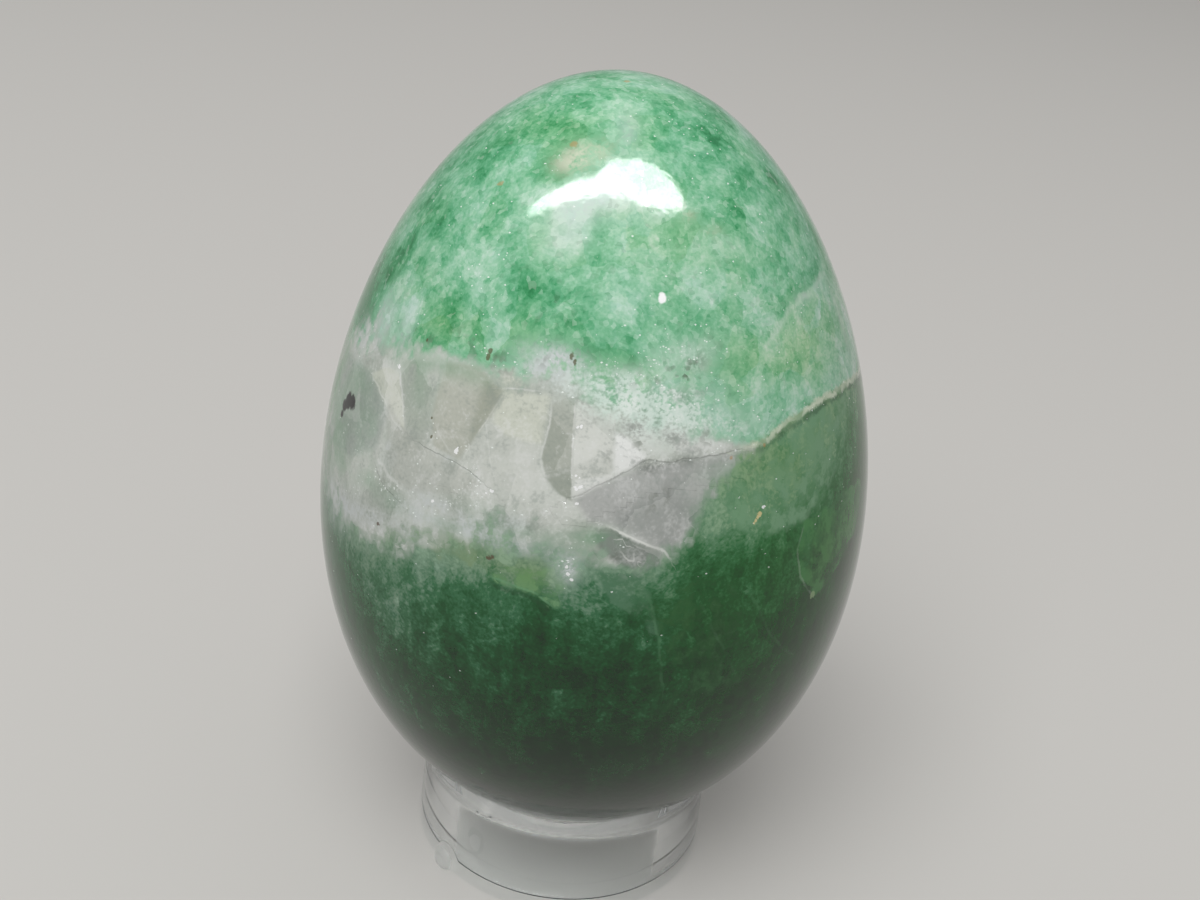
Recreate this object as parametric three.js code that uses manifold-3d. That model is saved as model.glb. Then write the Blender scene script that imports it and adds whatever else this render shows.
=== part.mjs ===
// Polished stone egg on a ring stand of clear moulded acrylic.
// Millimetres, +Z up. The origin is on the table, at the centre of the ring's foot.
// Both pieces are turned forms: the egg is one solid stone, and the ring is one moulding.
// The egg isn't fastened. It stands blunt end down in the ring's bevelled seat, and lifts off.

import * as THREE from "three";
import { mergeVertices } from "three/addons/utils/BufferGeometryUtils.js";
import Module from "manifold-3d";

const wasm = await Module();
wasm.setup();

// The egg
const EGG_LENGTH = 62.8;
const EGG_WIDTH = 44.2;
const EGG_WIDEST_HEIGHT = 28.1; // of the widest circle above the blunt tip
const EGG_LEAN_DEGREES = 1.8; // top toward -X, as the egg came to rest in its seat

// The ring
const RING_DIAMETER = 25; // outside, at the rim
const RING_HEIGHT = 8;
const RING_WALL = 3;
const RING_DRAFT = 0.25; // how far the foot stands out past the rim, so the moulding releases
const SEAT_WIDTH = 1.2; // of the bevel that carries the egg, measured along the radius
const RIM_ROUND = 0.5;
const FOOT_ROUND = 0.35;
const SEAT_CLEARANCE = 0.3; // square to the bevel

// The stub that is left where the ring was cut from its moulding gate
const GATE_DIAMETER = 2.2;
const GATE_PROUD = 0.8;
const GATE_ROUND = 0.45;
const GATE_ROOT = 0.6; // how deep the stub starts inside the wall
const GATE_HEIGHT = 1.25; // of its centre above the table
const GATE_ANGLE_DEGREES = 223.5; // round the ring from +X, at the front left

const EGG_SEGMENTS = 80;
const EGG_RINGS = 44;
const RING_SEGMENTS = 80;
const GATE_SEGMENTS = 20;
const ROUND_STEPS = 4;

const stone = new THREE.MeshStandardMaterial({
  name: "polished_green_stone",
  color: 0x5f9a6c,
  roughness: 0.12,
  metalness: 0,
});

const acrylic = new THREE.MeshStandardMaterial({
  name: "clear_acrylic",
  color: 0xe6eaea,
  roughness: 0.08,
  metalness: 0,
  transparent: true,
  opacity: 0.35,
});

// The egg's outline, from the blunt tip at turn 0 to the pointed tip at turn PI.
// It is an ellipse whose radius swells toward the blunt end: sin(turn) * (1 + swell * cos(turn)).
// The swell is what puts the widest circle at its height.
const widestCosine = 1 - (2 * EGG_WIDEST_HEIGHT) / EGG_LENGTH;
const swell = widestCosine / (1 - 2 * widestCosine ** 2);
const widestSine = Math.sqrt(1 - widestCosine ** 2);
const radiusScale = EGG_WIDTH / 2 / (widestSine * (1 + swell * widestCosine));

function eggRadius(turn) {
  return radiusScale * Math.sin(turn) * (1 + swell * Math.cos(turn));
}

function eggHeight(turn) {
  return (-EGG_LENGTH / 2) * Math.cos(turn);
}

// The outline's slope above the horizontal, as an angle.
function eggSlope(turn) {
  const rise = (EGG_LENGTH / 2) * Math.sin(turn);
  const run = radiusScale * (Math.cos(turn) + swell * Math.cos(2 * turn));
  return Math.atan2(rise, run);
}

// The egg touches the middle of the bevel. The turn at which it does is found by halving.
const seatRadius = RING_DIAMETER / 2 - RING_WALL + SEAT_WIDTH / 2;

function seatTurn() {
  let low = 0;
  let high = Math.PI / 2;
  for (let step = 0; step < 50; step += 1) {
    const turn = (low + high) / 2;
    const reach = eggRadius(turn) + SEAT_CLEARANCE * Math.sin(eggSlope(turn));
    if (reach < seatRadius) {
      low = turn;
    } else {
      high = turn;
    }
  }
  return (low + high) / 2;
}

const contactTurn = seatTurn();
const seatSlope = eggSlope(contactTurn);
const seatDrop = SEAT_WIDTH * Math.tan(seatSlope);
const contactHeight = RING_HEIGHT - seatDrop / 2 + SEAT_CLEARANCE * Math.cos(seatSlope);

// Lines square to the outline at the contact meet on the egg's axis. Leaning about that point
// keeps the egg on its seat, as a ball turns in a cup.
const pivotAboveContact = eggRadius(contactTurn) / Math.tan(seatSlope);
const pivotHeight = contactHeight + pivotAboveContact;
const pivotOnEgg = eggHeight(contactTurn) + pivotAboveContact;

// Turns an outline of [radius, height] points about the Z axis.
function revolve(outline, segments) {
  const points = outline.map(([radius, height]) => new THREE.Vector2(radius, height));
  const geometry = new THREE.LatheGeometry(points, segments);
  geometry.rotateX(Math.PI / 2);
  return geometry;
}

// The points of a quarter round, from one angle to the other in degrees.
function roundCorner(centreRadius, centreHeight, size, fromDegrees, toDegrees) {
  const points = [];
  for (let step = 0; step <= ROUND_STEPS; step += 1) {
    const share = step / ROUND_STEPS;
    const angle = THREE.MathUtils.degToRad(fromDegrees + (toDegrees - fromDegrees) * share);
    points.push([centreRadius + size * Math.cos(angle), centreHeight + size * Math.sin(angle)]);
  }
  return points;
}

function toSolid(geometry) {
  const bare = geometry.clone();
  bare.deleteAttribute("normal");
  bare.deleteAttribute("uv");
  const merged = mergeVertices(bare);
  return new wasm.Manifold(new wasm.Mesh({
    numProp: 3,
    vertProperties: new Float32Array(merged.attributes.position.array),
    triVerts: new Uint32Array(merged.index.array),
  }));
}

function toGeometry(solid) {
  const mesh = solid.getMesh();
  const geometry = new THREE.BufferGeometry();
  geometry.setAttribute("position", new THREE.BufferAttribute(mesh.vertProperties, 3));
  geometry.setIndex(new THREE.BufferAttribute(mesh.triVerts, 1));
  geometry.computeVertexNormals();
  return geometry;
}

// The egg is turned about its pivot, so its own origin is there.
function stoneEgg() {
  const outline = [[0, eggHeight(0) - pivotOnEgg]];
  for (let ring = 1; ring < EGG_RINGS; ring += 1) {
    const turn = (Math.PI * ring) / EGG_RINGS;
    outline.push([eggRadius(turn), eggHeight(turn) - pivotOnEgg]);
  }
  outline.push([0, eggHeight(Math.PI) - pivotOnEgg]);
  const egg = new THREE.Mesh(revolve(outline, EGG_SEGMENTS), stone);
  egg.name = "stone_egg";
  egg.position.set(0, 0, pivotHeight);
  egg.rotation.y = -THREE.MathUtils.degToRad(EGG_LEAN_DEGREES);
  return egg;
}

function wallRadius(height) {
  return RING_DIAMETER / 2 + RING_DRAFT * (1 - height / RING_HEIGHT);
}

// The wall's section, anticlockwise from the foot's inner edge. The bore is straight, the outside
// leans in by the draft, and the bevel runs from the bore up to the flat rim.
function ringBody() {
  const boreRadius = RING_DIAMETER / 2 - RING_WALL;
  const section = [
    ...roundCorner(boreRadius + FOOT_ROUND, FOOT_ROUND, FOOT_ROUND, 180, 270),
    ...roundCorner(wallRadius(0) - FOOT_ROUND, FOOT_ROUND, FOOT_ROUND, 270, 360),
    ...roundCorner(wallRadius(RING_HEIGHT) - RIM_ROUND, RING_HEIGHT - RIM_ROUND, RIM_ROUND, 0, 90),
    [boreRadius + SEAT_WIDTH, RING_HEIGHT],
    [boreRadius, RING_HEIGHT - seatDrop],
  ];
  section.push(section[0]);
  return revolve(section, RING_SEGMENTS);
}

// A short round stub with a broken edge, lying along a radius of the ring.
function gateStub() {
  const radius = GATE_DIAMETER / 2;
  const stub = revolve([
    [0, -GATE_ROOT],
    [radius, -GATE_ROOT],
    ...roundCorner(radius - GATE_ROUND, GATE_PROUD - GATE_ROUND, GATE_ROUND, 0, 90),
    [0, GATE_PROUD],
  ], GATE_SEGMENTS);
  stub.rotateY(Math.PI / 2);
  stub.translate(wallRadius(GATE_HEIGHT), 0, GATE_HEIGHT);
  stub.rotateZ(THREE.MathUtils.degToRad(GATE_ANGLE_DEGREES));
  return stub;
}

function ringStand() {
  const moulding = toSolid(ringBody()).add(toSolid(gateStub()));
  const ring = new THREE.Mesh(toGeometry(moulding), acrylic);
  ring.name = "ring_stand";
  return ring;
}

const eggOnStand = new THREE.Group();
eggOnStand.name = "stone_egg_on_stand";
eggOnStand.add(ringStand(), stoneEgg());

export default eggOnStand;
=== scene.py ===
import math

import bmesh
import bpy
import numpy as np
from mathutils import Matrix, Vector


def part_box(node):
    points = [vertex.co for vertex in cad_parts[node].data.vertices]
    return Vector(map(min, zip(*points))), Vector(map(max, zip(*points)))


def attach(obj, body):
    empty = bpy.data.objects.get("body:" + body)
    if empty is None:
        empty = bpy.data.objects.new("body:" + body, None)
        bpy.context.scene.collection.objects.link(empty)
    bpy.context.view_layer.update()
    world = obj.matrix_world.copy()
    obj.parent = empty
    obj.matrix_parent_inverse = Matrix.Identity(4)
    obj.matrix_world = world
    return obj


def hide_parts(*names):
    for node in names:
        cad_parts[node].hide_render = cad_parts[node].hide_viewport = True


# A polished egg of green quartz, standing in a clear acrylic ring.
# Sizes are in millimetres until a mesh is finished, and in metres from there on.

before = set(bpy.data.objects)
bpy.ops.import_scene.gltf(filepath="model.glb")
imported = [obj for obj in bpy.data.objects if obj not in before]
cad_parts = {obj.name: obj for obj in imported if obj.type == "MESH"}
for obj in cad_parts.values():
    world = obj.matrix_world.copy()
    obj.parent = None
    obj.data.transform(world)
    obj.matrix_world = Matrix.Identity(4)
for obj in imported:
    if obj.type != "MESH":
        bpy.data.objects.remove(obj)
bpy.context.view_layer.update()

MM = 0.001

# The egg, blunt end down. Its mesh is a cube of EGG_CELLS cells a side, swollen to a ball.
EGG_LENGTH = 62.8
EGG_WIDTH = 44.2
EGG_WIDEST_HEIGHT = 28.1
EGG_LEAN_DEGREES = 1.8
EGG_CELLS = 128

# The ring, and the bevel that the egg sits on
RING_DIAMETER = 25.0
RING_WALL = 3.0
RING_DRAFT = 0.25
SEAT_WIDTH = 1.2
SEAT_DROP = 0.72
RIM_ROUND = 0.5
FOOT_ROUND = 0.35
SEAT_ROUND = 0.12
RING_STEPS = 480
LONG_EDGE = 2.0  # straight edges of the section that are longer than this are cut up
EDGE_CUTS = 24

# The stub of the ring's moulding gate
GATE_RADIUS = 1.1
GATE_PROUD = 0.8
GATE_HEIGHT = 1.25
GATE_ANGLE_DEGREES = 223.5
GATE_FLAT = 0.55  # share of its radius that is flat
GATE_FILLET = 0.7  # share of its radius over which it runs out into the wall

# The stub's cut face is frosted, as far as it lies in a ball whose centre stands off it
FROST_STANDOFF = 0.6
FROST_INNER = 1.1
FROST_OUTER = 1.6
FROSTED_ROUGHNESS = 0.5
MOULDED_ROUGHNESS = 0.03

# The camera of the photograph
CAMERA_ELEVATION_DEGREES = 26.0
CAMERA_ROLL_DEGREES = 6.68
CAMERA_DISTANCE = 121.8
CAMERA_TARGET = Vector((-0.136, 0.0, 37.54))
CAMERA_LENS = 45.0
CAMERA_SENSOR = 36.0
CAMERA_NEAR = 5.0

# The floor is pale where it is seen, and sheds as little light on the egg as a dark table does.
FLOOR_HALF = 3000.0
FLOOR_COLOUR = "cac8c4"
FLOOR_BOUNCE = "585856"
FLOOR_GLOW = 0.12

# The lamps. A strip is given by its place, its length and its width.
KEY_PLACE = Vector((-200.0, -640.0, 1050.0))
KEY_SIZE = 900.0
KEY_RADIANCE = 5.2
STRIPS = [(Vector((50.0, -72.0, 368.0)), 238.0, 100.0), (Vector((-104.0, -98.0, 368.0)), 316.0, 44.0)]
STRIP_RADIANCE = 15.0
FILL_STRENGTH = 0.35
EGG_MIDDLE = Vector((0.0, 0.0, 36.0))


def linear(text):
    """An sRGB colour such as 4f9f6a as linear red, green, blue and alpha."""
    values = [int(text[i:i + 2], 16) / 255 for i in (0, 2, 4)]
    return (*[v / 12.92 if v <= 0.04045 else ((v + 0.055) / 1.055) ** 2.4 for v in values], 1.0)


def add(tree, kind, inputs=None, **settings):
    """Adds a node. An input goes by name, or by number where names repeat. It is a value or a socket."""
    made = tree.nodes.new(kind)
    for name, value in settings.items():
        setattr(made, name, value)
    for name, value in (inputs or {}).items():
        if isinstance(value, bpy.types.NodeSocket):
            tree.links.new(value, made.inputs[name])
        else:
            made.inputs[name].default_value = value
    return made


def new_material(name):
    material = bpy.data.materials.new(name)
    material.use_nodes = True
    material.node_tree.nodes.clear()
    return material


def finished(bm, name, material):
    """Makes an object of a mesh in metres, smooth and at the origin."""
    bmesh.ops.recalc_face_normals(bm, faces=bm.faces)
    mesh = bpy.data.meshes.new(name)
    bm.to_mesh(mesh)
    bm.free()
    mesh.polygons.foreach_set("use_smooth", [True] * len(mesh.polygons))
    mesh.materials.append(material)
    piece = bpy.data.objects.new(name, mesh)
    bpy.context.scene.collection.objects.link(piece)
    return piece


def make_camera():
    elevation = math.radians(CAMERA_ELEVATION_DEGREES)
    roll = math.radians(CAMERA_ROLL_DEGREES)
    back = Vector((0, -math.cos(elevation), math.sin(elevation)))
    level = Vector((1, 0, 0))
    upright = Vector((0, math.sin(elevation), math.cos(elevation)))
    right = level * math.cos(roll) + upright * math.sin(roll)
    up = upright * math.cos(roll) - level * math.sin(roll)
    data = bpy.data.cameras.new("camera")
    data.lens = CAMERA_LENS
    data.sensor_width = CAMERA_SENSOR
    data.clip_start = CAMERA_NEAR * MM
    camera = bpy.data.objects.new("camera", data)
    bpy.context.scene.collection.objects.link(camera)
    turned = Matrix((right, up, back)).transposed().to_4x4()
    camera.matrix_world = Matrix.Translation((CAMERA_TARGET + back * CAMERA_DISTANCE) * MM) @ turned
    bpy.context.scene.camera = camera


def area_lamp(name, shape, place, length, width, radiance):
    """A flat lamp that faces the egg, its length as near along X as that allows."""
    data = bpy.data.lights.new(name, "AREA")
    data.shape = shape
    data.size = length * MM
    data.size_y = width * MM
    filled = math.pi / 4 if shape == "ELLIPSE" else 1.0
    data.energy = radiance * math.pi * filled * data.size * data.size_y
    lamp = bpy.data.objects.new(name, data)
    bpy.context.scene.collection.objects.link(lamp)
    back = (place - EGG_MIDDLE).normalized()
    across = (Vector((1, 0, 0)) - back * back.x).normalized()
    facing = Matrix((across, back.cross(across), back)).transposed().to_4x4()
    lamp.matrix_world = Matrix.Translation(place * MM) @ facing
    return lamp


def make_studio():
    """A pale floor under a broad key lamp, with two strips overhead that make one long highlight."""
    floor_look = new_material("pale_floor")
    tree = floor_look.node_tree
    path = add(tree, "ShaderNodeLightPath")
    seen = path.outputs["Is Camera Ray"]
    for ray in ("Is Glossy Ray", "Is Transmission Ray"):
        seen = add(tree, "ShaderNodeMath", {0: seen, 1: path.outputs[ray]}, operation="MAXIMUM").outputs[0]
    bounce = add(tree, "ShaderNodeBsdfDiffuse", {"Color": linear(FLOOR_BOUNCE)})
    paper = add(tree, "ShaderNodeBsdfDiffuse", {"Color": linear(FLOOR_COLOUR)})
    glow = add(tree, "ShaderNodeEmission", {"Color": linear(FLOOR_COLOUR), "Strength": 1.0})
    lit = add(tree, "ShaderNodeMixShader", {0: FLOOR_GLOW, 1: paper.outputs[0], 2: glow.outputs[0]})
    look = add(tree, "ShaderNodeMixShader", {0: seen, 1: bounce.outputs[0], 2: lit.outputs[0]})
    add(tree, "ShaderNodeOutputMaterial", {"Surface": look.outputs[0]})
    bm = bmesh.new()
    bmesh.ops.create_grid(bm, x_segments=1, y_segments=1, size=FLOOR_HALF * MM)
    floor = finished(bm, "floor", floor_look)

    key = area_lamp("key", "RECTANGLE", KEY_PLACE, KEY_SIZE, KEY_SIZE, KEY_RADIANCE)
    key.visible_glossy = False
    for number, (place, length, width) in enumerate(STRIPS):
        strip = area_lamp("strip_%d" % number, "ELLIPSE", place, length, width, STRIP_RADIANCE)
        strip.visible_diffuse = False

    world = bpy.data.worlds.new("fill")
    world.use_nodes = True
    tree = world.node_tree
    tree.nodes.clear()
    sky = add(tree, "ShaderNodeBackground", {"Color": linear("ffffff"), "Strength": FILL_STRENGTH})
    add(tree, "ShaderNodeOutputWorld", {"Surface": sky.outputs[0]})
    bpy.context.scene.world = world


# The egg is a ball that is stretched along its axis and tapers towards the pointed end.
# The taper is what puts the widest circle at its height.
widest_cosine = 1 - 2 * EGG_WIDEST_HEIGHT / EGG_LENGTH
egg_taper = widest_cosine / (1 - 2 * widest_cosine ** 2)
widest_sine = math.sqrt(1 - widest_cosine ** 2)
egg_radius = EGG_WIDTH / 2 / (widest_sine * (1 + egg_taper * widest_cosine))


def egg_from_ball(ball):
    """Points of a unit ball as points of the egg, in millimetres about its own centre."""
    x, y, z = ball.T
    narrowing = egg_radius * (1 - egg_taper * z)
    return np.stack([x * narrowing, y * narrowing, z * EGG_LENGTH / 2], 1)


def radius_at(height):
    z = np.clip(2 * np.asarray(height, float) / EGG_LENGTH - 1, -1, 1)
    return egg_radius * np.sqrt(1 - z ** 2) * (1 - egg_taper * z)


def on_egg(places):
    """Places on the surface as points in millimetres about the egg's own centre.
    A place is an angle in degrees round from the front, positive to the right, and a height in
    millimetres above the blunt tip."""
    angle, height = np.asarray(places, float).T
    radius = radius_at(height)
    turn = np.radians(angle)
    return np.stack([radius * np.sin(turn), -radius * np.cos(turn), height - EGG_LENGTH / 2], 1)


# The white quartz band: the height of its upper and lower borders by angle, and how many millimetres
# each border takes to fade. It thins round the back, and a seam runs on from its right end.
BAND_END = 34
SEAM_START = 33
BAND_TOP = [
    (-180, 39.2, 0.4), (-150, 41.2, 0.6), (-120, 43, 0.8), (-95, 43.2, 1), (-80, 42.6, 1.4),
    (-70, 43.2, 1.6), (-62, 44.2, 1.6), (-54, 45, 1.2), (-48, 45.2, 1), (-40, 45.8, 0.8),
    (-30, 46.1, 0.6), (-20, 45.9, 0.7), (-14, 46.2, 1), (-9, 47, 1), (-4, 46.3, 1),
    (0, 45.6, 1.2), (5, 45.6, 1.3), (10, 45.3, 1.4), (15, 44.4, 1.2), (20, 43.6, 1), (25, 42.9, 0.8),
    (30, 42.2, 0.5), (34, 41.9, 0.3)]
BAND_FOOT = [
    (-180, 39.2, 0.4), (-150, 38, 0.8), (-120, 35.5, 1.2), (-95, 33.4, 1.5), (-80, 33, 1.6),
    (-70, 32.2, 1.6), (-60, 31.4, 1.8), (-52, 31.2, 1.6), (-46, 31.2, 1.6), (-40, 32, 1.6),
    (-34, 32.9, 1.8), (-28, 33.9, 1.9), (-20, 35.3, 2), (-10, 35.8, 2), (0, 35.4, 1.5),
    (5, 34.6, 1), (10, 34.2, 0.9), (15, 35, 1.2), (20, 37.4, 1.6), (25, 39.6, 1.6), (30, 41.2, 0.9),
    (34, 41.7, 0.3)]

# Where the stone turns deep and dark: height by angle, and how fast it darkens below that. The darkening is
# partly the stone's own deep green and partly painted shade, darker towards the bottom.
DEEP_TOP = [
    (-180, 35, 0.8), (-120, 33, 0.9), (-80, 31.5, 0.9), (-60, 31, 0.75), (-45, 30.4, 0.6),
    (-30, 32.2, 0.6), (-15, 33.4, 0.8), (-5, 33.9, 1.1), (2, 33.6, 1.2), (8, 33.2, 1.2),
    (16, 34.6, 1), (22, 36.6, 1), (30, 37.2, 0.8), (38, 37.4, 0.8), (46, 38.2, 0.8),
    (56, 39.4, 0.8), (66, 41.5, 0.8), (80, 42.2, 0.8), (100, 40, 0.8), (130, 37, 0.8),
    (180, 35, 0.8)]
# How deep the stone counts, by how far it has darkened, painted shade included
DEPTHS = [(-8, 0.06), (-4, 0.1), (0, 0.17), (2, 0.38), (5, 0.56), (10, 0.72), (20, 0.86)]

# The angles over which the warm shades come in, and over which they go out
WARM_FROM = (0, 45)
WARM_TO = (110, 160)

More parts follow.
